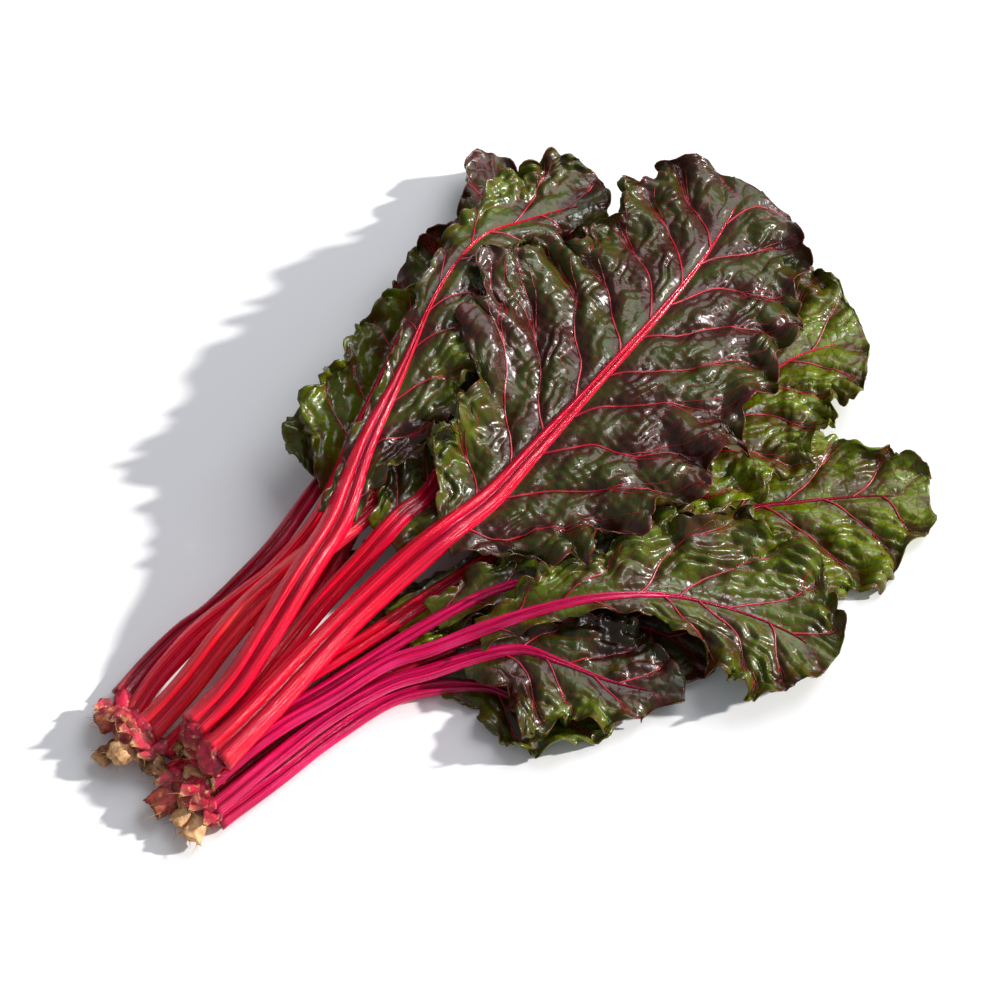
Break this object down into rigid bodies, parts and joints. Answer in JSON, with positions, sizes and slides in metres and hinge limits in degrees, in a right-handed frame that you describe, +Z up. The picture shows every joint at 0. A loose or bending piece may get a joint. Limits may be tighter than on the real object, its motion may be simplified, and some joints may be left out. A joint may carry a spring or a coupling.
{
  "type": "swiss chard bunch",
  "caption": "Loose bunch of red-stemmed leafy greens lying on its side: ribbed glossy stalks fan out from torn crowns to broad ruffled leaves with raised red veins.",
  "frame": {"origin": "On the table under the middle of the bunch's bounding box", "axes": "+X along the bunch from the cut stalk ends to the leaf tips, +Y across it to the side of the arched leaf, +Z up from the table"},
  "size_m": [0.4362, 0.3219, 0.0676],
  "materials": {
    "stalk_crimson": "ribbed, moist and glossy red leaf stalk",
    "stalk_magenta": "ribbed, moist and glossy pink-red leaf stalk",
    "stalk_salmon": "ribbed, moist and glossy light red leaf stalk",
    "stalk_wine": "ribbed, moist and glossy dark red leaf stalk",
    "blade_purple": "glossy, puckered purple-brown leaf with red veins",
    "blade_purple_green": "glossy, puckered olive and purple leaf with red veins",
    "blade_green": "glossy, puckered green leaf with red veins",
    "blade_bright_green": "glossy, puckered light green leaf with red veins",
    "crown": "torn and dried root tissue, dull"
  },
  "bodies": {
    "root": {"stalk_low_front": "stalk_magenta", "blade_low_front": "blade_green", "stalk_low_shaded": "stalk_wine", "blade_low_shaded": "blade_purple", "stalk_far_purple": "stalk_crimson", "blade_far_purple": "blade_purple", "stalk_far_small": "stalk_wine", "blade_far_small": "blade_green", "stalk_left_green": "stalk_crimson", "blade_left_green": "blade_green", "stalk_under_middle": "stalk_salmon", "blade_under_middle": "blade_purple_green", "stalk_right_tip": "stalk_wine", "blade_right_tip": "blade_bright_green", "stalk_right_green": "stalk_crimson", "blade_right_green": "blade_bright_green", "stalk_narrow_wing": "stalk_magenta", "blade_narrow_wing": "blade_green", "stalk_front_purple": "stalk_magenta", "blade_front_purple": "blade_purple", "stalk_lower_right": "stalk_magenta", "blade_lower_right": "blade_green", "stalk_middle": "stalk_crimson", "blade_middle": "blade_green", "stalk_left_arched": "stalk_crimson", "blade_left_arched": "blade_purple_green", "stalk_top_broad": "stalk_crimson", "blade_top_broad": "blade_purple", "crown_left": "crown", "crown_lower": "crown", "crown_middle": "crown"}
  },
  "joints": []
}
